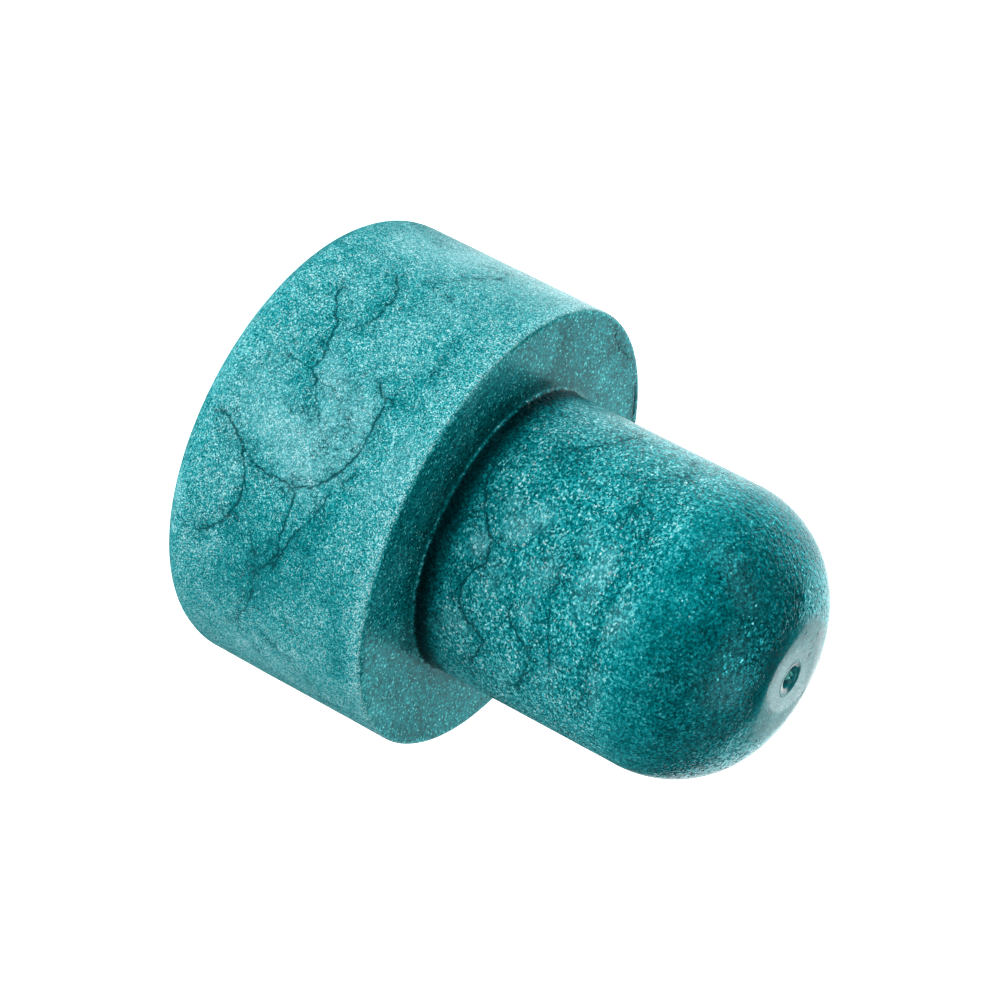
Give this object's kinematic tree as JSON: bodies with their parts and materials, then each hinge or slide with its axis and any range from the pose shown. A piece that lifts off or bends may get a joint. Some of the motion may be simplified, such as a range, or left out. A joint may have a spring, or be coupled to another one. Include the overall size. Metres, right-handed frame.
{
  "type": "bottle stopper",
  "caption": "Moulded plastic bottle stopper: a wide round pull head on a plain cylindrical shank with a well rounded nose that presses into a bottle's neck.",
  "frame": {"origin": "centre of the head's flat outer end, which is the face that the stopper stands on", "axes": "+Z runs along the axis of revolution from the head to the nose of the shank; X and Y are equivalent"},
  "size_m": [0.03, 0.03, 0.0373],
  "materials": {
    "teal_plastic": "semi-gloss pearlescent teal thermoplastic with faint moulding flow lines"
  },
  "bodies": {
    "root": {"stopper": "teal_plastic"}
  },
  "joints": []
}
